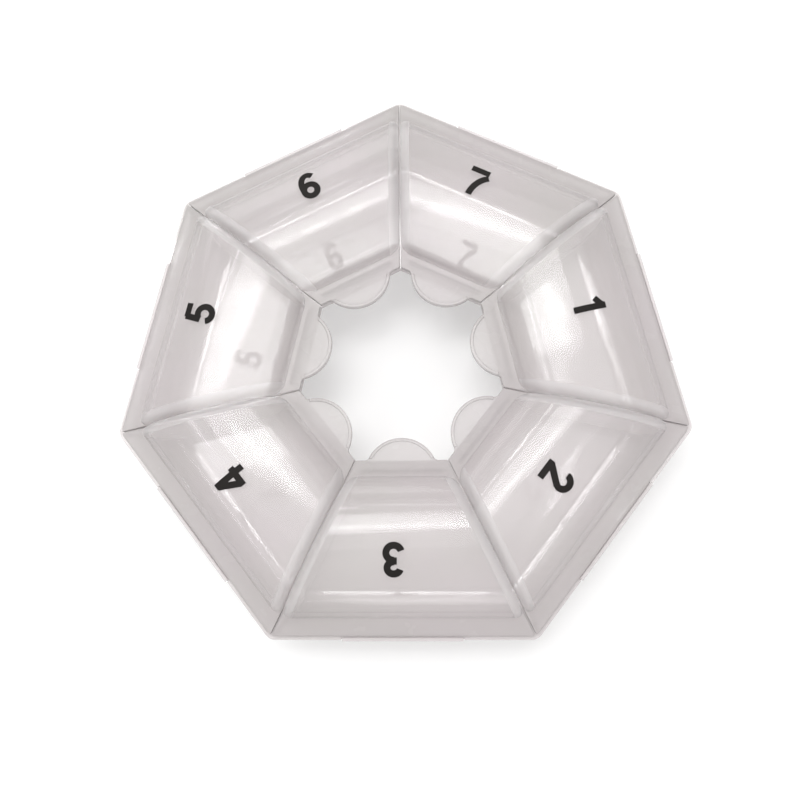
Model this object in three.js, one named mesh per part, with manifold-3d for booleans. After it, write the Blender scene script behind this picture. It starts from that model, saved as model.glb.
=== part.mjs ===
// Weekly pill organizer: a seven-sided ring of seven covered compartments round an open middle.
// One tray carries seven vaulted lids. Each lid turns on a film hinge at the outer rim
// and has a finger tab that reaches over the middle hole.
// Millimetres, +Z up. The tray stands on z = 0, and the origin is under the middle of the outline.
import * as THREE from "three";
import { mergeVertices } from "three/addons/utils/BufferGeometryUtils.js";
import Module from "manifold-3d";

const wasm = await Module();
wasm.setup();

// Plan of the ring
const SIDES = 7;
const RIM_APOTHEM = 54; // axis to the flats of the tray's outer rim
const HOLE_APOTHEM = 19.3; // axis to the flats of the middle hole
const CORNER_RADIUS = 2.5; // round of the seven outer corners, in plan

// Tray
const TRAY_HEIGHT = 14;
const TRAY_WALL = 1.2; // outer skin, floor and flanks
const RIM_BAND = 1.3; // upright band below the rim, and thickness of the outer ledge
const RIM_LEDGE = 1.2; // how far the rim stands out over the outer flank
const TROUGH_RADIUS = 6; // round between flank and floor, on the outside
const INNER_LEAN = THREE.MathUtils.degToRad(30); // flank by the hole, from upright
const OUTER_LEAN = THREE.MathUtils.degToRad(12); // flank under the outer rim, from upright
const PARTITION = 1.6; // thickness of a wall between two compartments, at the rim
const PARTITION_DRAFT = THREE.MathUtils.degToRad(1.5); // each face, thicker towards the floor

// Lids
const LID_WALL = 1; // vault and end walls
const LID_FLANGE = 1.2; // flat border that lies on the rim
const VAULT_RISE = 6.3; // crown above the flange
const INNER_BORDER = 3.2; // flange between the hole and the vault
const OUTER_BORDER = 3.4; // flange between the vault and the lid's outer edge
const SHOULDER = 2; // round between the vault and its end walls
const SIDE_GAP = 0.25; // end wall to the plane between two sectors

// Finger tab
const TAB_RADIUS = 7.4;
const TAB_REACH = 4.45; // beyond the hole's flat
const TAB_FILLET = 1;
const TAB_BEAD = 0.6; // width of the raised edge
const TAB_BEAD_HEIGHT = 0.35;

// Snap lip under the flange, by the hole
const LIP_HALF_LENGTH = 8.2;
const LIP_THICKNESS = 0.9;
const LIP_TAPER = 0.2; // how much thinner the lip is at its lower edge
const LIP_CLEARANCE = 0.45; // lip to the tray's inner wall
const SNAP_RIB_RADIUS = 0.2;
const SNAP_RIB_LENGTH = 4.4;
const SNAP_RIB_OFFSET = 5.6; // middle of a rib, from the middle of the lip

// Film hinge
const HINGE_LENGTH = 23.4;
const HINGE_INSET = 0.25; // hinge axis inside the rim's flat
const FILM_RADIUS = 0.5; // outside of the folded film
const FILM_THICKNESS = 0.35;
const FILM_LEG = 0.25; // straight ends of the fold
const HINGE_CLEARANCE = 0.3; // round the folded film
const OPEN_CLEARANCE = 0.35; // lid to rim when the lid lies fully open

// Steps of the round stretches
const ARCH_STEPS = 20;
const SHOULDER_STEPS = 4;
const TROUGH_STEPS = 6;
const CORNER_STEPS = 3; // half of the facets of one corner
const FILLET_STEPS = 3;
const TAB_STEPS = 16;
const FILM_STEPS = 8;
const RIB_SIDES = 10;
const WELD_DISTANCE = 0.0001; // points nearer than this are one point of a surface

// Worked out from the sizes above
const HALF_ANGLE = Math.PI / SIDES;
const TURN = 2 * HALF_ANGLE;
const OVERRUN = TRAY_WALL; // how far a cutting solid runs past what it cuts
const bandBottom = TRAY_HEIGHT - RIM_BAND;
const flangeTop = TRAY_HEIGHT + LID_FLANGE;
const outerFlankEdge = RIM_APOTHEM - RIM_LEDGE;
const innerCavityEdge = HOLE_APOTHEM + TRAY_WALL / Math.cos(INNER_LEAN);
const hingeApothem = RIM_APOTHEM - HINGE_INSET;
const lidEdge = 2 * hingeApothem - RIM_APOTHEM - OPEN_CLEARANCE;
const vaultInner = HOLE_APOTHEM + INNER_BORDER;
const vaultOuter = lidEdge - OUTER_BORDER;
const vaultMiddle = (vaultInner + vaultOuter) / 2;
const vaultHalfSpan = (vaultOuter - vaultInner) / 2;
const lipFace = innerCavityEdge + LIP_CLEARANCE;
const hingeCutRadius = FILM_RADIUS + HINGE_CLEARANCE;

// The outline reaches further at its top corner than at its bottom flat, so the ring's axis
// lies a little off the middle of the outline.
const cornerReach = (RIM_APOTHEM - CORNER_RADIUS) / Math.cos(HALF_ANGLE) + CORNER_RADIUS;
const flatReach = hingeApothem + FILM_RADIUS;
const axisY = (flatReach - cornerReach) / 2;

// A closed three.js geometry as a solid, and back
function solid(geometry) {
  const bare = geometry.clone();
  bare.deleteAttribute("normal");
  bare.deleteAttribute("uv");
  const merged = mergeVertices(bare, WELD_DISTANCE);
  const vertProperties = merged.getAttribute("position").array;
  const triVerts = new Uint32Array(merged.index.array);
  return new wasm.Manifold(new wasm.Mesh({ numProp: 3, vertProperties, triVerts }));
}

function geometryOf(body) {
  const { vertProperties, triVerts } = body.getMesh();
  const geometry = new THREE.BufferGeometry();
  geometry.setAttribute("position", new THREE.BufferAttribute(vertProperties, 3));
  geometry.setIndex(new THREE.BufferAttribute(triVerts, 1));
  return geometry.toNonIndexed();
}

function arcPoints(x, y, radius, from, to, steps) {
  const points = [];
  for (let i = 0; i <= steps; i++) {
    const angle = from + ((to - from) * i) / steps;
    points.push(new THREE.Vector2(x + radius * Math.cos(angle), y + radius * Math.sin(angle)));
  }
  return points;
}

// An upright prism between two heights
function prism(shape, low, high, curveSegments = CORNER_STEPS) {
  const geometry = new THREE.ExtrudeGeometry(shape, {
    depth: high - low,
    bevelEnabled: false,
    curveSegments,
  });
  return solid(geometry.translate(0, 0, low));
}

// A section in (y, z) run along x, centred on x = 0
function bar(points, length) {
  const shape = new THREE.Shape(points);
  const geometry = new THREE.ExtrudeGeometry(shape, { depth: length, bevelEnabled: false });
  geometry.translate(0, 0, -length / 2);
  geometry.applyMatrix4(
    new THREE.Matrix4().makeBasis(
      new THREE.Vector3(0, 1, 0),
      new THREE.Vector3(0, 0, 1),
      new THREE.Vector3(1, 0, 0),
    ),
  );
  return solid(geometry);
}

// A closed section in (distance from the axis to a flat, z) run round the seven sides
function ring(section) {
  const profile = section.map((p) => new THREE.Vector2(p.x / Math.cos(HALF_ANGLE), p.y));
  profile.push(profile[0].clone());
  const geometry = new THREE.LatheGeometry(profile, SIDES, Math.PI);
  return solid(geometry.rotateX(Math.PI / 2));
}

// The seven-sided outline with round corners. A corner points along +Y, or a flat does.
function outline(apothem, radius, flatAhead) {
  const first = Math.PI / 2 + (flatAhead ? HALF_ANGLE : 0);
  const reach = (apothem - radius) / Math.cos(HALF_ANGLE);
  const shape = new THREE.Shape();
  for (let i = 0; i < SIDES; i++) {
    const angle = first + i * TURN;
    const x = reach * Math.cos(angle);
    const y = reach * Math.sin(angle);
    shape.absarc(x, y, radius, angle - HALF_ANGLE, angle + HALF_ANGLE, false);
  }
  return shape;
}

// A closed skin over sections that all have the same number of points, with flat end caps
function loft(sections) {
  const count = sections[0].length;
  const positions = sections.flat().flatMap((p) => [p.x, p.y, p.z]);
  const indices = [];
  for (let s = 0; s + 1 < sections.length; s++) {
    for (let i = 0; i < count; i++) {
      const a = s * count + i;
      const b = s * count + ((i + 1) % count);
      indices.push(a, a + count, b, b, a + count, b + count);
    }
  }
  const last = (sections.length - 1) * count;
  for (let i = 1; i + 1 < count; i++) {
    indices.push(0, i, i + 1);
    indices.push(last, last + i + 1, last + i);
  }
  const geometry = new THREE.BufferGeometry();
  geometry.setAttribute("position", new THREE.Float32BufferAttribute(positions, 3));
  geometry.setIndex(indices);
  return solid(geometry);
}

// Half the width of a sector at a distance from the axis, set in from its side plane
function halfWidth(distance, setIn) {
  return distance * Math.tan(HALF_ANGLE) - setIn / Math.cos(HALF_ANGLE);
}

// One flank of the trough from the band under the rim to the floor. The side is +1 for the
// flank by the hole and -1 for the outer one, and the inset leads from the skin to the cavity.
function flank(edge, lean, side, inset) {
  const radius = TROUGH_RADIUS - inset;
  const start = edge + (side * inset) / Math.cos(lean);
  const length = (bandBottom - inset - radius * (1 - Math.sin(lean))) / Math.cos(lean);
  const centre = start + side * (length * Math.sin(lean) + radius * Math.cos(lean));
  const points = [new THREE.Vector2(start, bandBottom)];
  for (let i = 0; i <= TROUGH_STEPS; i++) {
    const angle = lean + ((Math.PI / 2 - lean) * i) / TROUGH_STEPS;
    const across = centre - side * radius * Math.cos(angle);
    points.push(new THREE.Vector2(across, inset + radius * (1 - Math.sin(angle))));
  }
  return points;
}

function troughSection(inset, top, rim) {
  const inner = flank(HOLE_APOTHEM, INNER_LEAN, 1, inset);
  const outer = flank(outerFlankEdge, OUTER_LEAN, -1, inset).reverse();
  return [new THREE.Vector2(inner[0].x, top), ...inner, ...outer, ...rim(outer.at(-1).x)];
}

function partitionWall() {
  const half = PARTITION / 2;
  const foot = half + TRAY_HEIGHT * Math.tan(PARTITION_DRAFT);
  const head = half - OVERRUN * Math.tan(PARTITION_DRAFT);
  const top = TRAY_HEIGHT + OVERRUN;
  const shape = new THREE.Shape([
    new THREE.Vector2(-foot, 0),
    new THREE.Vector2(foot, 0),
    new THREE.Vector2(head, top),
    new THREE.Vector2(-head, top),
  ]);
  const length = cornerReach + OVERRUN;
  const geometry = new THREE.ExtrudeGeometry(shape, { depth: length, bevelEnabled: false });
  geometry.rotateX(Math.PI / 2);
  geometry.translate(0, length, 0);
  return solid(geometry);
}

// The room that the folded film needs, along one flat that faces +Y
function hingeCut() {
  const length = HINGE_LENGTH + 2 * HINGE_CLEARANCE;
  return bar(arcPoints(hingeApothem, TRAY_HEIGHT, hingeCutRadius, 0, 2 * Math.PI, 2 * FILM_STEPS)
    .slice(1), length);
}

function makeTray() {
  const skin = troughSection(0, TRAY_HEIGHT, () => [
    new THREE.Vector2(RIM_APOTHEM, bandBottom),
    new THREE.Vector2(RIM_APOTHEM, TRAY_HEIGHT),
  ]);
  const aboveRim = TRAY_HEIGHT + OVERRUN;
  const room = troughSection(TRAY_WALL, aboveRim, (edge) => [new THREE.Vector2(edge, aboveRim)]);
  const wall = partitionWall();
  const cut = hingeCut();
  let cavity = ring(room);
  for (let i = 0; i < SIDES; i++) {
    cavity = cavity.subtract(turned(wall, i * TURN));
  }
  let tray = ring(skin).subtract(cavity);
  tray = tray.intersect(prism(outline(RIM_APOTHEM, CORNER_RADIUS, false), -OVERRUN, aboveRim));
  for (let i = 0; i < SIDES; i++) {
    tray = tray.subtract(turned(cut, (i + 0.5) * TURN));
  }
  return geometryOf(tray);
}

function turned(body, angle) {
  return body.rotate([0, 0, THREE.MathUtils.radToDeg(angle)]);
}

// The vault as a solid down to a base height. The inset leads from its outside to its hollow.
function vault(inset, base) {
  const radius = SHOULDER - inset;
  const stations = [];
  for (let i = 0; i <= SHOULDER_STEPS; i++) {
    const angle = (Math.PI / 2) * (i / SHOULDER_STEPS);
    stations.push({
      setIn: SIDE_GAP + inset + radius * (1 - Math.cos(angle)),
      drop: inset + radius * (1 - Math.sin(angle)),
    });
  }
  const section = ({ setIn, drop }, side) => {
    const points = [];
    for (let i = 0; i <= ARCH_STEPS; i++) {
      const angle = (Math.PI * i) / ARCH_STEPS;
      const y = vaultMiddle - (vaultHalfSpan - drop) * Math.cos(angle);
      const z = flangeTop + (VAULT_RISE - drop) * Math.sin(angle);
      points.push([y, z]);
    }
    const feet = [points.at(0)[0], points.at(-1)[0]];
    points.unshift([feet[0], base]);
    points.push([feet[1], base]);
    return points.map(([y, z]) => new THREE.Vector3(side * halfWidth(y, setIn), y, z));
  };
  const left = stations.map((s) => section(s, -1));
  const right = stations.map((s) => section(s, 1)).reverse();
  return loft([...left, ...right]);
}

// The flat border of a lid with its finger tab, seen from above, with the rim ahead
function flangeShape() {
  const tabCentre = HOLE_APOTHEM - TAB_REACH + TAB_RADIUS;
  const filletY = HOLE_APOTHEM - TAB_FILLET;
  const rise = tabCentre - filletY;
  const filletX = Math.sqrt((TAB_RADIUS + TAB_FILLET) ** 2 - rise ** 2);
  const meet = Math.atan2(rise, filletX);
  const outerHalf = halfWidth(lidEdge, SIDE_GAP);
  const innerHalf = halfWidth(HOLE_APOTHEM, SIDE_GAP);
  return {
    tabCentre,
    meet,
    points: [
      new THREE.Vector2(outerHalf, lidEdge),
      new THREE.Vector2(-outerHalf, lidEdge),
      new THREE.Vector2(-innerHalf, HOLE_APOTHEM),
      ...arcPoints(-filletX, filletY, TAB_FILLET, Math.PI / 2, meet, FILLET_STEPS),
      ...arcPoints(0, tabCentre, TAB_RADIUS, Math.PI + meet, 2 * Math.PI - meet, TAB_STEPS)
        .slice(1, -1),
      ...arcPoints(filletX, filletY, TAB_FILLET, Math.PI - meet, Math.PI / 2, FILLET_STEPS),
      new THREE.Vector2(innerHalf, HOLE_APOTHEM),
    ],
  };
}

function tabBead({ tabCentre, meet }) {
  const from = Math.PI + meet;
  const to = 2 * Math.PI - meet;
  const shape = new THREE.Shape([
    ...arcPoints(0, tabCentre, TAB_RADIUS, from, to, TAB_STEPS),
    ...arcPoints(0, tabCentre, TAB_RADIUS - TAB_BEAD, to, from, TAB_STEPS),
  ]);
  return prism(shape, TRAY_HEIGHT, flangeTop + TAB_BEAD_HEIGHT);
}

function snapLip() {
  const back = lipFace + LIP_THICKNESS;
  const lip = bar([
    new THREE.Vector2(lipFace, bandBottom),
    new THREE.Vector2(back - LIP_TAPER, bandBottom),
    new THREE.Vector2(back, flangeTop),
    new THREE.Vector2(lipFace, flangeTop),
  ], 2 * LIP_HALF_LENGTH);
  const ribHeight = (bandBottom + TRAY_HEIGHT) / 2;
  const rib = bar(arcPoints(lipFace, ribHeight, SNAP_RIB_RADIUS, 0, 2 * Math.PI, RIB_SIDES)
    .slice(1), SNAP_RIB_LENGTH);
  return lip
    .add(rib.translate([-SNAP_RIB_OFFSET, 0, 0]))
    .add(rib.translate([SNAP_RIB_OFFSET, 0, 0]));
}

// A lid in its own place, with its outer edge towards +Y
function makeLid() {
  const flange = flangeShape();
  let lid = prism(new THREE.Shape(flange.points), TRAY_HEIGHT, flangeTop);
  const corners = outline(lidEdge, CORNER_RADIUS, true);
  lid = lid.intersect(prism(corners, TRAY_HEIGHT - OVERRUN, flangeTop + OVERRUN));
  lid = lid.add(tabBead(flange));
  lid = lid.add(vault(0, TRAY_HEIGHT));
  lid = lid.subtract(vault(LID_WALL, TRAY_HEIGHT - OVERRUN));
  lid = lid.add(snapLip());
  lid = lid.subtract(hingeCut());
  return geometryOf(lid);
}

// The folded film of a hinge, open towards the axis of the ring
function makeHingeFilm() {
  const inner = FILM_RADIUS - FILM_THICKNESS;
  const end = hingeApothem - FILM_LEG;
  const quarter = Math.PI / 2;
  const film = bar([
    new THREE.Vector2(end, TRAY_HEIGHT - FILM_RADIUS),
    ...arcPoints(hingeApothem, TRAY_HEIGHT, FILM_RADIUS, -quarter, quarter, FILM_STEPS),
    new THREE.Vector2(end, TRAY_HEIGHT + FILM_RADIUS),
    new THREE.Vector2(end, TRAY_HEIGHT + inner),
    ...arcPoints(hingeApothem, TRAY_HEIGHT, inner, quarter, -quarter, FILM_STEPS),
    new THREE.Vector2(end, TRAY_HEIGHT - inner),
  ], HINGE_LENGTH);
  return geometryOf(film);
}

function plastic(color, roughness, opacity) {
  return new THREE.MeshStandardMaterial({
    color,
    roughness,
    metalness: 0,
    opacity,
    transparent: true,
  });
}

const organizer = new THREE.Group();
organizer.position.set(0, axisY, 0);

const tray = new THREE.Mesh(makeTray(), plastic(0xd6d0d0, 0.3, 0.6));
tray.name = "base_tray";
organizer.add(tray);

// Sector 1 is the first one clockwise after the right-hand one of the two beside the top corner
const lidGeometry = makeLid();
const filmGeometry = makeHingeFilm();
for (let day = 1; day <= SIDES; day++) {
  const sector = new THREE.Group();
  sector.rotation.z = -(day + 0.5) * TURN;
  const lid = new THREE.Mesh(lidGeometry, plastic(0xe2dcdc, 0.2, 0.45));
  lid.name = `lid_${day}`;
  const film = new THREE.Mesh(filmGeometry, plastic(0xdcd6d6, 0.35, 0.6));
  film.name = `hinge_film_${day}`;
  sector.add(lid, film);
  organizer.add(sector);
}

export default organizer;
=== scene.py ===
import math

import bmesh
import bpy
from mathutils import Euler, Matrix, Vector


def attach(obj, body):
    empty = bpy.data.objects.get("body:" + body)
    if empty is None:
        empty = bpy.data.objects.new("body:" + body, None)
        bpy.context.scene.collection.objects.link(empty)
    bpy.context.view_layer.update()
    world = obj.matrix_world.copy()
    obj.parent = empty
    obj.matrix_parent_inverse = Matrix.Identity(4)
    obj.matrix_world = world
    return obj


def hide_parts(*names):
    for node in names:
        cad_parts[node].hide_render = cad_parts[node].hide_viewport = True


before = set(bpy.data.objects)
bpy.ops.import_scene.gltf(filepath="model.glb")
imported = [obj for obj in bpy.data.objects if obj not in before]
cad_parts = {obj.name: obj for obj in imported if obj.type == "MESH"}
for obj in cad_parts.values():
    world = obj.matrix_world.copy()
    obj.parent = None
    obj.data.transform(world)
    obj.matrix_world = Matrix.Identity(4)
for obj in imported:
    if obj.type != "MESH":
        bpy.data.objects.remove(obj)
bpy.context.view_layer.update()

# Lengths are in millimetres, as in the CAD source, and MM takes them to metres.
# Only the floor and the lights are given in metres.
MM = 0.001

# Plan of the ring
SIDES = 7
RIM_APOTHEM = 54.0
HOLE_APOTHEM = 19.3
CORNER_RADIUS = 2.5
CORNER_EASE = 0.01  # keeps the finer corner arcs within the CAD's facets

# Tray
TRAY_HEIGHT = 14.0
TRAY_WALL = 1.2
RIM_BAND = 1.3
RIM_LEDGE = 1.2
TROUGH_RADIUS = 6.0
INNER_LEAN = math.radians(30)
OUTER_LEAN = math.radians(12)
PARTITION = 1.6
PARTITION_DRAFT = math.radians(1.5)

# Lids
LID_WALL = 1.0
LID_FLANGE = 1.2
VAULT_RISE = 6.3
INNER_BORDER = 3.2
OUTER_BORDER = 3.4
SHOULDER = 2.0
SIDE_GAP = 0.15
TAB_RADIUS = 7.4
TAB_REACH = 4.45
TAB_FILLET = 1.0
TAB_BEAD = 0.6
TAB_BEAD_HEIGHT = 0.35
LIP_HALF_LENGTH = 8.2
LIP_THICKNESS = 0.9
LIP_TAPER = 0.2
LIP_CLEARANCE = 0.45
SNAP_RIB_RADIUS = 0.2
SNAP_RIB_LENGTH = 4.4
SNAP_RIB_OFFSET = 5.6

# Film hinges
HINGE_LENGTH = 23.4
HINGE_INSET = 0.25
FILM_RADIUS = 0.5
FILM_THICKNESS = 0.35
FILM_LEG = 0.25
HINGE_CLEARANCE = 0.3
OPEN_CLEARANCE = 0.35

# Printed numerals
PRINT_FOOT = 36.6  # from the ring's axis to the foot of a numeral
PRINT_HEIGHT = 6.6
PRINT_STROKE = 1.32
PRINT_DRIFT = (-1.4, 1.4)  # how far all seven sit off their lids' middle lines
PRINT_LIFT = 0.01
PRINT_THICKNESS = 0.03
PRINT_SLICE = 0.4

# Corners of a stroke's section: which side, and whether on top
STROKE_CORNERS = ((1, 0), (-1, 0), (-1, 1), (1, 1))

# Strokes of each numeral, in shares of its height: a line's two ends, or an arc's centre,
# half width, half height, start and end in degrees
NUMERAL_SHARES = {
    1: [(0.06, 0.0, 0.06, 1.0), (-0.20, 0.70, 0.06, 0.90)],
    2: [(0.0, 0.70, 0.215, 0.20, 185, -38), (0.17, 0.58, -0.22, 0.12), (-0.31, 0.10, 0.31, 0.10)],
    3: [(-0.01, 0.73, 0.19, 0.17, 165, -95), (-0.01, 0.31, 0.22, 0.21, 95, -165),
        (-0.10, 0.54, 0.02, 0.54)],
    4: [(0.13, 0.0, 0.13, 1.0), (-0.34, 0.30, 0.31, 0.30), (0.10, 0.93, -0.25, 0.33)],
    5: [(-0.17, 0.90, 0.27, 0.90), (-0.15, 0.95, -0.20, 0.45), (-0.01, 0.33, 0.225, 0.235, 140, -165)],
    6: [(0.0, 0.315, 0.21, 0.215, 0, 360), (0.05, 0.46, 0.26, 0.44, 188, 48)],
    7: [(-0.30, 0.90, 0.30, 0.90), (0.75, -0.02, 0.80, 0.90, 180, 122)],
}

# Fineness of the round stretches
ARCH_STEPS = 72
SHOULDER_STEPS = 10
TROUGH_STEPS = 12
CORNER_STEPS = 12
FILLET_STEPS = 6
TAB_STEPS = 48
FILM_STEPS = 12
RIB_SIDES = 12
STROKE_STEPS = 28

# Rounding of the edges. What is shorter than a sliver is merged first.
EDGE_ROUND = 0.15
EDGE_STEPS = 3
EDGE_ANGLE = math.radians(28)
SHARP_ANGLE = math.radians(50)
SLIVER = 0.05

# Camera at the photograph's angle
CAMERA_PLACE = Vector((5.4, -35.5, 158.5)) * MM
CAMERA_TURN = Euler((math.radians(10.16), math.radians(2.30), math.radians(-0.32)))
CAMERA_LENS = 32.25
CAMERA_SENSOR = 36.0
CAMERA_NEAR = 10 * MM

# A pale floor that glows slightly, as a light table does, and an even pale surround
FLOOR_REACH = 30.0
FLOOR_TONE = 0.56
FLOOR_ROUGHNESS = 0.9
FLOOR_GLOW = 0.33
FLOOR_GLOW_TINT = (1.0, 0.995, 0.99)
WORLD_STRENGTH = 0.56
WORLD_TINT = (1.0, 0.99, 0.985)

# Each light: the direction that it comes from (degrees anticlockwise from the right), its lean from
# the vertical, its twist about that direction, its width, depth and brightness
LIGHT_TARGET = Vector((0, 0, 20)) * MM
LIGHT_REACH = 1.0
LIGHTS = {
    "soft_panel": (111, 17.5, 0, 0.66, 0.29, 6.0),
    "halo_panel": (100, 20, 0, 1.50, 0.90, 0.95),
    "front_panel": (290, 60, 0, 0.90, 0.25, 2.8),
    "back_panel": (118, 64, 0, 1.00, 0.35, 2.2),
    "top_strip": (103, 14, 0, 0.28, 0.05, 10.0),
    "upper_left_strip": (127, 31, 0, 0.50, 0.025, 14.0),
    "left_strip": (170, 30.5, 0, 0.26, 0.06, 9.0),
    "right_strip": (347, 21.4, 50, 0.26, 0.05, 9.0),
    "low_left_strip": (207, 51, 0, 0.30, 0.025, 9.0),
    "low_strip": (268, 61, 0, 0.30, 0.025, 9.0),
    "low_right_strip": (330, 49, 0, 0.30, 0.025, 9.0),
}

# Each noise: the size of its features and its detail. Most of a noise lies in the range.
TINT_NOISE = (22, 3)
GLOSS_NOISE = (5, 2)
WAVE_NOISE = (9, 2)
NOISE_RANGE = (0.3, 0.7)

# Each plastic: two tints, the range of its roughness, the height of its waves, its alpha and index,
# and how deep light spreads in it, if it does. A low index gives a soft gloss and a high one a strong one.
PLASTICS = {
    "tray_plastic": dict(cool=(0.62, 0.59, 0.575), warm=(0.65, 0.595, 0.605), gloss=(0.05, 0.10),
                         wave=0.04, alpha=0.60, index=2.2),
    "lid_plastic": dict(cool=(0.64, 0.615, 0.60), warm=(0.68, 0.63, 0.64), gloss=(0.09, 0.15),
                        wave=0.05, alpha=0.25, index=1.7),
    # The flat border and tabs get a darker, more opaque copy of the lid plastic: its darker tint is painted
    # shade that holds their tone down against the bright floor seen through them.
    "border_plastic_with_painted_shade": dict(cool=(0.44, 0.42, 0.41), warm=(0.465, 0.43, 0.435), gloss=(0.2, 0.3),
                           wave=0.03, alpha=0.66, index=1.3),
    # The shoulders and end walls get a lighter copy of the lid plastic: its lighter tint is painted light
    # that lifts the shade in the joints between the lids, partly standing for the whiter look of plastic
    # seen through its depth.
    "wall_plastic_with_painted_light": dict(cool=(0.74, 0.72, 0.71), warm=(0.77, 0.735, 0.74), gloss=(0.35, 0.5),
                         wave=0.03, alpha=0.25, index=1.3, depth=3.0),
    "film_plastic": dict(cool=(0.66, 0.63, 0.62), warm=(0.69, 0.64, 0.65), gloss=(0.15, 0.3),
                         wave=0.02, alpha=0.5, index=1.5),
    "print_ink": dict(cool=(0.010, 0.009, 0.008), warm=(0.016, 0.014, 0.013), gloss=(0.5, 0.65),
                      wave=0.01, alpha=1.0, index=1.2),
}
DEPTH_TINT = (1.0, 0.95, 0.95)

# A lid's three materials, in their order on its mesh
VAULT, BORDER, END_WALL = range(3)

# Worked out from the sizes above
HALF_ANGLE = math.pi / SIDES
TURN = 2 * HALF_ANGLE
OVERRUN = TRAY_WALL
BAND_BOTTOM = TRAY_HEIGHT - RIM_BAND
FLANGE_TOP = TRAY_HEIGHT + LID_FLANGE
OUTER_FLANK = RIM_APOTHEM - RIM_LEDGE
INNER_CAVITY = HOLE_APOTHEM + TRAY_WALL / math.cos(INNER_LEAN)
HINGE_APOTHEM = RIM_APOTHEM - HINGE_INSET
LID_EDGE = 2 * HINGE_APOTHEM - RIM_APOTHEM - OPEN_CLEARANCE
VAULT_INNER = HOLE_APOTHEM + INNER_BORDER
VAULT_OUTER = LID_EDGE - OUTER_BORDER
VAULT_MIDDLE = (VAULT_INNER + VAULT_OUTER) / 2
VAULT_HALF = (VAULT_OUTER - VAULT_INNER) / 2
TAB_CENTRE = HOLE_APOTHEM - TAB_REACH + TAB_RADIUS
FILLET_Y = HOLE_APOTHEM - TAB_FILLET
FILLET_X = math.sqrt((TAB_RADIUS + TAB_FILLET) ** 2 - (TAB_CENTRE - FILLET_Y) ** 2)
FILLET_TURN = math.atan2(TAB_CENTRE - FILLET_Y, FILLET_X)
TAB_START, TAB_END = math.pi + FILLET_TURN, 2 * math.pi - FILLET_TURN
LIP_FACE = INNER_CAVITY + LIP_CLEARANCE
HINGE_CUT = FILM_RADIUS + HINGE_CLEARANCE
CORNER_REACH = (RIM_APOTHEM - CORNER_RADIUS) / math.cos(HALF_ANGLE) + CORNER_RADIUS
AXIS_Y = (HINGE_APOTHEM + FILM_RADIUS - CORNER_REACH) / 2


# Objects and meshes


def linked(name, data):
    """A new object in the scene."""
    made = bpy.data.objects.new(name, data)
    bpy.context.scene.collection.objects.link(made)
    return made


def mesh_object(name, points, faces):
    mesh = bpy.data.meshes.new(name)
    mesh.from_pydata([tuple(p) for p in points], [], faces)
    mesh.validate()
    return linked(name, mesh)


def baked(piece):
    """Turns a piece's modifiers into its mesh."""
    view = bpy.context.evaluated_depsgraph_get()
    view.update()
    mesh = bpy.data.meshes.new_from_object(piece.evaluated_get(view))
    old = piece.data
    piece.modifiers.clear()
    piece.data = mesh
    bpy.data.meshes.remove(old)
    return piece


def combined(a, b, operation):
    """a with b added, taken away or kept in common. Both are used up."""
    step = a.modifiers.new("step", "BOOLEAN")
    step.object, step.operation, step.solver = b, operation, "MANIFOLD"
    baked(a)
    old = b.data
    bpy.data.objects.remove(b)
    bpy.data.meshes.remove(old)
    return a


def rounded(piece):
    """Rounds the edges, once what the cuts left behind is cleaned off."""
    work = bmesh.new()
    work.from_mesh(piece.data)
    bmesh.ops.remove_doubles(work, verts=work.verts, dist=SLIVER)
    bmesh.ops.dissolve_degenerate(work, edges=work.edges, dist=SLIVER)
    work.to_mesh(piece.data)
    work.free()
    step = piece.modifiers.new("round", "BEVEL")
    step.width, step.segments = EDGE_ROUND, EDGE_STEPS
    step.limit_method, step.angle_limit = "ANGLE", EDGE_ANGLE
    return baked(piece)


def turned(piece, angle):
    piece.data.transform(Matrix.Rotation(angle, 4, "Z"))
    return piece


def in_frame(piece, angle):
    """Turns a piece about the ring's axis and brings it into the CAD's frame, in metres."""
    turn = Matrix.Rotation(angle, 4, "Z")
    piece.data.transform(Matrix.Scale(MM, 4) @ Matrix.Translation((0, AXIS_Y, 0)) @ turn)
    return piece


# Outlines and the solids made from them


def arc(x, y, radius, start, end, steps):
    angles = [start + (end - start) * i / steps for i in range(steps + 1)]
    return [(x + radius * math.cos(a), y + radius * math.sin(a)) for a in angles]


def half_width(distance, set_in):
    """Half the width of a seventh of the ring, so far from the axis, with its sides set in."""
    return distance * math.tan(HALF_ANGLE) - set_in / math.cos(HALF_ANGLE)


def heptagon(apothem, radius, first):
    """An outline with seven rounded corners, the first of them in the direction given."""
    reach = (apothem - radius) / math.cos(HALF_ANGLE)
    points = []
    for i in range(SIDES):
        angle = first + i * TURN
        x, y = reach * math.cos(angle), reach * math.sin(angle)
        points += arc(x, y, radius, angle - HALF_ANGLE, angle + HALF_ANGLE, CORNER_STEPS)
    return points


def loft(name, sections):
    """A closed skin over sections that all have the same number of points."""
    count = len(sections[0])
    points = [p for section in sections for p in section]
    faces = []
    for s in range(len(sections) - 1):
        for i in range(count):
            a, b = s * count + i, s * count + (i + 1) % count
            faces.append((a, a + count, b + count, b))
    last = (len(sections) - 1) * count
    faces.append(tuple(range(count)))
    faces.append(tuple(last + i for i in reversed(range(count))))
    return mesh_object(name, points, faces)


def prism(name, outline, low, high):
    return loft(name, [[(x, y, z) for x, y in outline] for z in (high, low)])


def bar(name, section, length):
    """A section in (y, z) run along x, centred on x = 0."""
    return loft(name, [[(x, y, z) for y, z in section] for x in (length / 2, -length / 2)])


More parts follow.
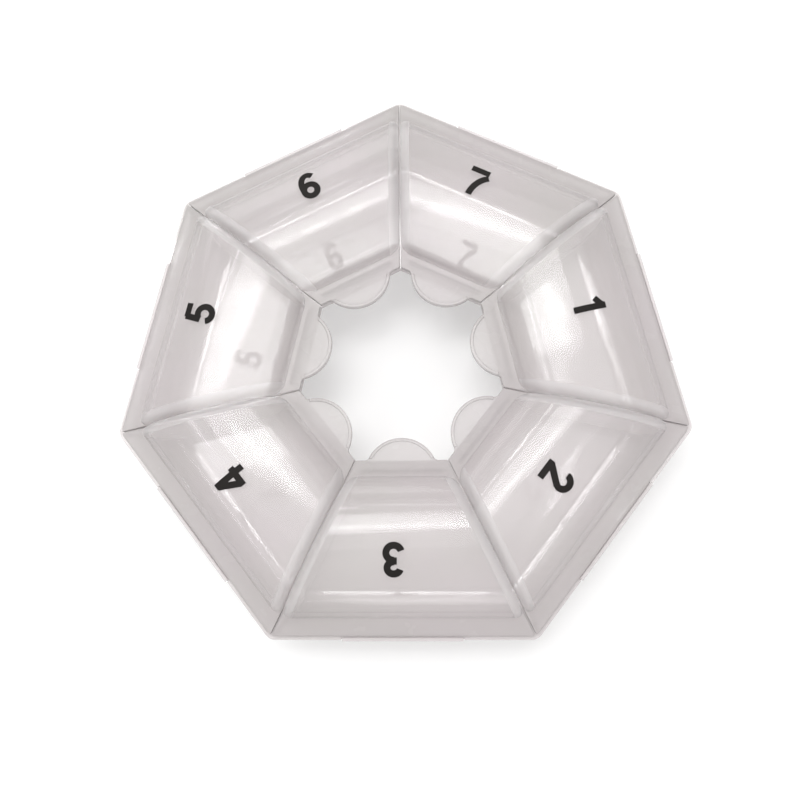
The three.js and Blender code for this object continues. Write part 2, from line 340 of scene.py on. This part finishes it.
def ring(name, section):
    """A closed section in (distance from the axis to a flat, z) run round the seven sides."""
    count = len(section)
    points, faces = [], []
    for side in range(SIDES):
        angle = math.pi / 2 + side * TURN
        for distance, z in section:
            reach = distance / math.cos(HALF_ANGLE)
            points.append((reach * math.cos(angle), reach * math.sin(angle), z))
    for side in range(SIDES):
        here, there = side * count, (side + 1) % SIDES * count
        for i in range(count):
            j = (i + 1) % count
            faces.append((here + i, there + i, there + j, here + j))
    return mesh_object(name, points, faces)


# Tray


def flank(edge, lean, side, inset):
    """One leaning wall of the trough down to its floor, from an edge at the rim band's bottom."""
    radius = TROUGH_RADIUS - inset
    start = edge + side * inset / math.cos(lean)
    length = (BAND_BOTTOM - inset - radius * (1 - math.sin(lean))) / math.cos(lean)
    centre = start + side * (length * math.sin(lean) + radius * math.cos(lean))
    points = [(start, BAND_BOTTOM)]
    for i in range(TROUGH_STEPS + 1):
        angle = lean + (math.pi / 2 - lean) * i / TROUGH_STEPS
        points.append((centre - side * radius * math.cos(angle), inset + radius * (1 - math.sin(angle))))
    return points


def trough(inset, top):
    """A section through the ring's trough, or through the hollow in it, up to a top height."""
    inner = flank(HOLE_APOTHEM, INNER_LEAN, 1, inset)
    outer = flank(OUTER_FLANK, OUTER_LEAN, -1, inset)[::-1]
    return [(inner[0][0], top)] + inner + outer


def hinge_cut():
    """What a film needs cut from the tray's rim and from the lid's edge."""
    circle = arc(HINGE_APOTHEM, TRAY_HEIGHT, HINGE_CUT, 0, 2 * math.pi, 2 * FILM_STEPS)[1:]
    return bar("hinge_cut", circle, HINGE_LENGTH + 2 * HINGE_CLEARANCE)


def make_room():
    """The room of one compartment, between two drafted partitions."""
    above = TRAY_HEIGHT + OVERRUN
    room = trough(TRAY_WALL, above)
    room.append((room[-1][0], above))

    def wall(side):
        points = []
        for y, z in room:
            set_in = PARTITION / 2 + (TRAY_HEIGHT - z) * math.tan(PARTITION_DRAFT)
            points.append((side * half_width(y, set_in), y, z))
        return points

    return loft("room", [wall(1), wall(-1)])


def make_tray():
    """The ring. Its rooms are cut one by one, because cutting them together left wrong flat faces."""
    skin = trough(0, TRAY_HEIGHT) + [(RIM_APOTHEM, BAND_BOTTOM), (RIM_APOTHEM, TRAY_HEIGHT)]
    tray = ring("tray_moulding", skin)
    rim = heptagon(RIM_APOTHEM - CORNER_EASE, CORNER_RADIUS, math.pi / 2)
    tray = combined(tray, prism("rim", rim, -OVERRUN, TRAY_HEIGHT + OVERRUN), "INTERSECT")
    for i in range(SIDES):
        tray = combined(tray, turned(make_room(), (i + 0.5) * TURN), "DIFFERENCE")
    tray = rounded(tray)
    for i in range(SIDES):
        tray = combined(tray, turned(hinge_cut(), (i + 0.5) * TURN), "DIFFERENCE")
    return tray


# Lids


def vault(name, inset, base):
    """The arch of a lid with its two shoulders, or the hollow in it, down to a base height."""
    radius = SHOULDER - inset
    # Over a shoulder, how far each section is set in from the side, and how far it drops
    stations = []
    for i in range(SHOULDER_STEPS + 1):
        angle = math.pi / 2 * i / SHOULDER_STEPS
        stations.append((SIDE_GAP + inset + radius * (1 - math.cos(angle)),
                         inset + radius * (1 - math.sin(angle))))

    def section(set_in, drop, side):
        points = []
        for i in range(ARCH_STEPS + 1):
            angle = math.pi * i / ARCH_STEPS
            points.append((VAULT_MIDDLE - (VAULT_HALF - drop) * math.cos(angle),
                           FLANGE_TOP + (VAULT_RISE - drop) * math.sin(angle)))
        points = [(points[0][0], base)] + points + [(points[-1][0], base)]
        return [(side * half_width(y, set_in), y, z) for y, z in points]

    left = [section(*s, -1) for s in stations]
    right = [section(*s, 1) for s in reversed(stations)]
    return loft(name, left + right)


def vault_height(distance):
    """The height of a lid's crown, so far from the axis."""
    share = (distance - VAULT_MIDDLE) / VAULT_HALF
    return FLANGE_TOP + VAULT_RISE * math.sqrt(max(0.0, 1 - share ** 2))


def flange_outline():
    outer, inner = half_width(LID_EDGE, SIDE_GAP), half_width(HOLE_APOTHEM, SIDE_GAP)
    points = [(outer, LID_EDGE), (-outer, LID_EDGE), (-inner, HOLE_APOTHEM)]
    points += arc(-FILLET_X, FILLET_Y, TAB_FILLET, math.pi / 2, FILLET_TURN, FILLET_STEPS)
    points += arc(0, TAB_CENTRE, TAB_RADIUS, TAB_START, TAB_END, TAB_STEPS)[1:-1]
    points += arc(FILLET_X, FILLET_Y, TAB_FILLET, math.pi - FILLET_TURN, math.pi / 2, FILLET_STEPS)
    points.append((inner, HOLE_APOTHEM))
    return points


def tab_bead():
    """The raised edge round a finger tab."""
    outline = arc(0, TAB_CENTRE, TAB_RADIUS, TAB_START, TAB_END, TAB_STEPS)
    outline += arc(0, TAB_CENTRE, TAB_RADIUS - TAB_BEAD, TAB_END, TAB_START, TAB_STEPS)
    return prism("tab_bead", outline, TRAY_HEIGHT, FLANGE_TOP + TAB_BEAD_HEIGHT)


def snap_lip():
    """The lip under a lid's border by the hole, with its two short ribs."""
    back = LIP_FACE + LIP_THICKNESS
    lip = bar("lip", [(LIP_FACE, BAND_BOTTOM), (back - LIP_TAPER, BAND_BOTTOM),
                      (back, FLANGE_TOP), (LIP_FACE, FLANGE_TOP)], 2 * LIP_HALF_LENGTH)
    height = (BAND_BOTTOM + TRAY_HEIGHT) / 2
    for side in (-1, 1):
        circle = arc(LIP_FACE, height, SNAP_RIB_RADIUS, 0, 2 * math.pi, RIB_SIDES)[1:]
        rib = bar("rib", circle, SNAP_RIB_LENGTH)
        rib.data.transform(Matrix.Translation((side * SNAP_RIB_OFFSET, 0, 0)))
        lip = combined(lip, rib, "UNION")
    return lip


def make_lid():
    """A lid as if it lay over the +y side of a ring about the origin."""
    lid = prism("lid", flange_outline(), TRAY_HEIGHT, FLANGE_TOP)
    outline = heptagon(LID_EDGE, CORNER_RADIUS, math.pi / 2 + HALF_ANGLE)
    corners = prism("corners", outline, TRAY_HEIGHT - OVERRUN, FLANGE_TOP + OVERRUN)
    lid = combined(lid, corners, "INTERSECT")
    lid = rounded(combined(lid, tab_bead(), "UNION"))
    lid = combined(lid, vault("vault", 0, TRAY_HEIGHT), "UNION")
    lid = combined(lid, vault("hollow", LID_WALL, TRAY_HEIGHT - OVERRUN), "DIFFERENCE")
    lid = combined(lid, snap_lip(), "UNION")
    return combined(lid, hinge_cut(), "DIFFERENCE")


def make_film():
    """A thin strip round the hinge line, with a C for its section."""
    inner = FILM_RADIUS - FILM_THICKNESS
    end = HINGE_APOTHEM - FILM_LEG
    quarter = math.pi / 2
    section = [(end, TRAY_HEIGHT - FILM_RADIUS)]
    section += arc(HINGE_APOTHEM, TRAY_HEIGHT, FILM_RADIUS, -quarter, quarter, FILM_STEPS)
    section += [(end, TRAY_HEIGHT + FILM_RADIUS), (end, TRAY_HEIGHT + inner)]
    section += arc(HINGE_APOTHEM, TRAY_HEIGHT, inner, quarter, -quarter, FILM_STEPS)
    section.append((end, TRAY_HEIGHT - inner))
    return bar("film", section, HINGE_LENGTH)


# Numerals


def stroke_path(shares):
    """The middle of a stroke: a straight line has four shares and an arc has six."""
    if len(shares) == 4:
        return [Vector(shares[:2]) * PRINT_HEIGHT, Vector(shares[2:]) * PRINT_HEIGHT]
    x, y, wide, high, first, last = shares
    angles = [math.radians(first + (last - first) * i / STROKE_STEPS) for i in range(STROKE_STEPS + 1)]
    return [Vector((x + wide * math.cos(a), y + high * math.sin(a))) * PRINT_HEIGHT for a in angles]


def ribbon(shares):
    """One stroke as a thin closed solid, as wide as the print's lines."""
    points = stroke_path(shares)
    closed = (points[0] - points[-1]).length < PRINT_THICKNESS
    if closed:
        points.pop()
    count, around = len(points), len(STROKE_CORNERS)
    corners = []
    for i, point in enumerate(points):
        before, after = (i - 1) % count, (i + 1) % count
        if not closed:
            before, after = max(i - 1, 0), min(i + 1, count - 1)
        ahead = points[after] - points[before]
        across = Vector((-ahead.y, ahead.x)).normalized() * PRINT_STROKE / 2
        for side, on_top in STROKE_CORNERS:
            corners.append((*(point + side * across), on_top * PRINT_THICKNESS))
    faces = []
    for i in range(count if closed else count - 1):
        here, there = around * i, around * ((i + 1) % count)
        for j in range(around):
            k = (j + 1) % around
            faces.append((here + j, there + j, there + k, here + k))
    if not closed:
        last = around * (count - 1)
        faces.append(tuple(range(around)))
        faces.append(tuple(last + j for j in reversed(range(around))))
    return mesh_object("ribbon", corners, faces)


def make_numeral(day, angle):
    """A numeral cut into slices and laid on the arch of its lid, with its top outwards."""
    numeral = None
    for shares in NUMERAL_SHARES[day]:
        piece = ribbon(shares)
        numeral = combined(numeral, piece, "UNION") if numeral else piece
    work = bmesh.new()
    work.from_mesh(numeral.data)
    slices = int(PRINT_HEIGHT / PRINT_SLICE)
    for i in range(1, slices):
        cut = PRINT_HEIGHT * i / slices
        geometry = work.verts[:] + work.edges[:] + work.faces[:]
        bmesh.ops.bisect_plane(work, geom=geometry, plane_co=(0, cut, 0), plane_no=(0, 1, 0))
    bmesh.ops.triangulate(work, faces=work.faces)
    drift = Matrix.Rotation(-angle, 2) @ Vector(PRINT_DRIFT)
    for v in work.verts:
        across, out = v.co.x + drift.x, PRINT_FOOT + v.co.y + drift.y
        v.co = (across, out, vault_height(out) + PRINT_LIFT + v.co.z)
    work.to_mesh(numeral.data)
    work.free()
    numeral.name = f"numeral_{day}"
    return in_frame(numeral, angle)


# Materials


def set_inputs(node, values):
    for name, value in values.items():
        node.inputs[name].default_value = value


def noise(tree, size, detail):
    """Noise whose features are about so many millimetres across."""
    place = tree.nodes.get("Texture Coordinate") or tree.nodes.new("ShaderNodeTexCoord")
    made = tree.nodes.new("ShaderNodeTexNoise")
    set_inputs(made, {"Scale": 1 / (size * MM), "Detail": detail})
    tree.links.new(place.outputs["Object"], made.inputs["Vector"])
    return made.outputs["Fac"]


def spread(tree, factor, low, high):
    """Takes a noise to a range of values."""
    made = tree.nodes.new("ShaderNodeMapRange")
    set_inputs(made, {"From Min": NOISE_RANGE[0], "From Max": NOISE_RANGE[1], "To Min": low, "To Max": high})
    tree.links.new(factor, made.inputs["Value"])
    return made.outputs["Result"]


def mixed(tree, factor, cool, warm):
    """Takes a noise to a mix of two colours."""
    made = tree.nodes.new("ShaderNodeMix")
    made.data_type = "RGBA"
    set_inputs(made, {"A": (*cool, 1), "B": (*warm, 1)})
    tree.links.new(spread(tree, factor, 0, 1), made.inputs["Factor"])
    return made.outputs["Result"]


def plastic(name, cool, warm, gloss, wave, alpha, index, depth=0):
    """Moulded plastic, or the ink on it: two tints, patchy gloss and slightly wavy faces."""
    made = bpy.data.materials.new(name)
    made.use_nodes = True
    tree = made.node_tree
    shader = tree.nodes["Principled BSDF"]
    set_inputs(shader, {"Alpha": alpha, "IOR": index})
    if depth:
        set_inputs(shader, {"Subsurface Weight": 1, "Subsurface Radius": DEPTH_TINT,
                            "Subsurface Scale": depth * MM})
    tint = mixed(tree, noise(tree, *TINT_NOISE), cool, warm)
    tree.links.new(tint, shader.inputs["Base Color"])
    patches = spread(tree, noise(tree, *GLOSS_NOISE), *gloss)
    tree.links.new(patches, shader.inputs["Roughness"])
    bump = tree.nodes.new("ShaderNodeBump")
    set_inputs(bump, {"Strength": 1, "Distance": wave * MM})
    tree.links.new(noise(tree, *WAVE_NOISE), bump.inputs["Height"])
    tree.links.new(bump.outputs["Normal"], shader.inputs["Normal"])
    return made


def painted(piece, *materials):
    piece.data.materials.clear()
    for material in materials:
        piece.data.materials.append(material)
    return piece


def sort_faces(piece):
    """Gives each face of a lid its material: the vault, the flat border with its tab, or the shoulders and
    end walls.
    The border's is a darker copy of the lid plastic, painted shade; the shoulders' and end walls' is a
    lighter copy, painted light that lifts the shade in the joints between lids, partly standing for plastic
    seen through its depth."""
    for face in piece.data.polygons:
        x, y, z = face.center
        from_side = (half_width(y, 0) - abs(x)) * math.cos(HALF_ANGLE)
        if z > FLANGE_TOP + TAB_BEAD_HEIGHT or VAULT_INNER < y < VAULT_OUTER:
            face.material_index = END_WALL if from_side < SIDE_GAP + SHOULDER else VAULT
        else:
            face.material_index = BORDER


def finished(piece, angle=0.0):
    """Shades a piece smooth and brings it into the frame."""
    for face in piece.data.polygons:
        face.use_smooth = True
    piece.data.set_sharp_from_angle(angle=SHARP_ANGLE)
    weigh = piece.modifiers.new("weigh", "WEIGHTED_NORMAL")
    weigh.keep_sharp = True
    return in_frame(baked(piece), angle)


# Stage


def add_camera():
    data = bpy.data.cameras.new("camera")
    data.lens, data.sensor_width = CAMERA_LENS, CAMERA_SENSOR
    data.clip_start, data.clip_end = CAMERA_NEAR, 2 * FLOOR_REACH
    camera = linked("camera", data)
    camera.location, camera.rotation_euler = CAMERA_PLACE, CAMERA_TURN
    bpy.context.scene.camera = camera


def add_floor():
    corners = [(x * FLOOR_REACH, y * FLOOR_REACH, 0) for x, y in ((-1, -1), (1, -1), (1, 1), (-1, 1))]
    floor = mesh_object("floor", corners, [(0, 1, 2, 3)])
    paper = bpy.data.materials.new("paper")
    paper.use_nodes = True
    set_inputs(paper.node_tree.nodes["Principled BSDF"], {
        "Base Color": (FLOOR_TONE, FLOOR_TONE, FLOOR_TONE, 1),
        "Roughness": FLOOR_ROUGHNESS,
        "Emission Color": (*FLOOR_GLOW_TINT, 1),
        "Emission Strength": FLOOR_GLOW,
    })
    floor.data.materials.append(paper)


def add_world():
    world = bpy.data.worlds.new("studio")
    world.use_nodes = True
    set_inputs(world.node_tree.nodes["Background"], {"Color": (*WORLD_TINT, 1), "Strength": WORLD_STRENGTH})
    bpy.context.scene.world = world


def add_lights():
    for name, (turn, lean, twist, width, depth, brightness) in LIGHTS.items():
        turn, lean, twist = math.radians(turn), math.radians(lean), math.radians(twist)
        away = Vector((math.sin(lean) * math.cos(turn), math.sin(lean) * math.sin(turn), math.cos(lean)))
        across = Vector((-math.sin(turn), math.cos(turn), 0))
        facing = Matrix((across, away.cross(across), away)).transposed().to_4x4()
        facing = facing @ Matrix.Rotation(twist, 4, "Z")
        data = bpy.data.lights.new(name, "AREA")
        data.shape, data.size, data.size_y = "RECTANGLE", width, depth
        data.energy = brightness * math.pi * width * depth
        linked(name, data).matrix_world = Matrix.Translation(LIGHT_TARGET + LIGHT_REACH * away) @ facing


# The object, piece by piece


def dressed(piece, body, slot, *nodes):
    """Makes a piece ride on its body, in place of any CAD nodes that it stands for."""
    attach(piece, body)
    if nodes:
        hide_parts(*nodes)


add_camera()
add_floor()
add_world()
add_lights()
looks = {name: plastic(name, **values) for name, values in PLASTICS.items()}

tray = finished(painted(make_tray(), looks["tray_plastic"]))
dressed(tray, "tray", "tray_plastic", "base_tray")

first_lid = painted(make_lid(), looks["lid_plastic"], looks["border_plastic_with_painted_shade"], looks["wall_plastic_with_painted_light"])
sort_faces(first_lid)
first_film = painted(make_film(), looks["film_plastic"])
for day in range(1, SIDES + 1):
    angle = -(day + 0.5) * TURN
    lid = finished(linked(f"lid_shell_{day}", first_lid.data.copy()), angle)
    film = finished(linked(f"film_{day}", first_film.data.copy()), angle)
    numeral = painted(make_numeral(day, angle), looks["print_ink"])
    dressed(lid, f"lid_{day}", "lid_plastic", f"lid_{day}")
    dressed(film, "tray", "film_plastic", f"hinge_film_{day}")
    dressed(numeral, f"lid_{day}", "print_ink")
for spare in (first_lid, first_film):
    bpy.data.objects.remove(spare)

bpy.context.scene.view_settings.view_transform = "Standard"
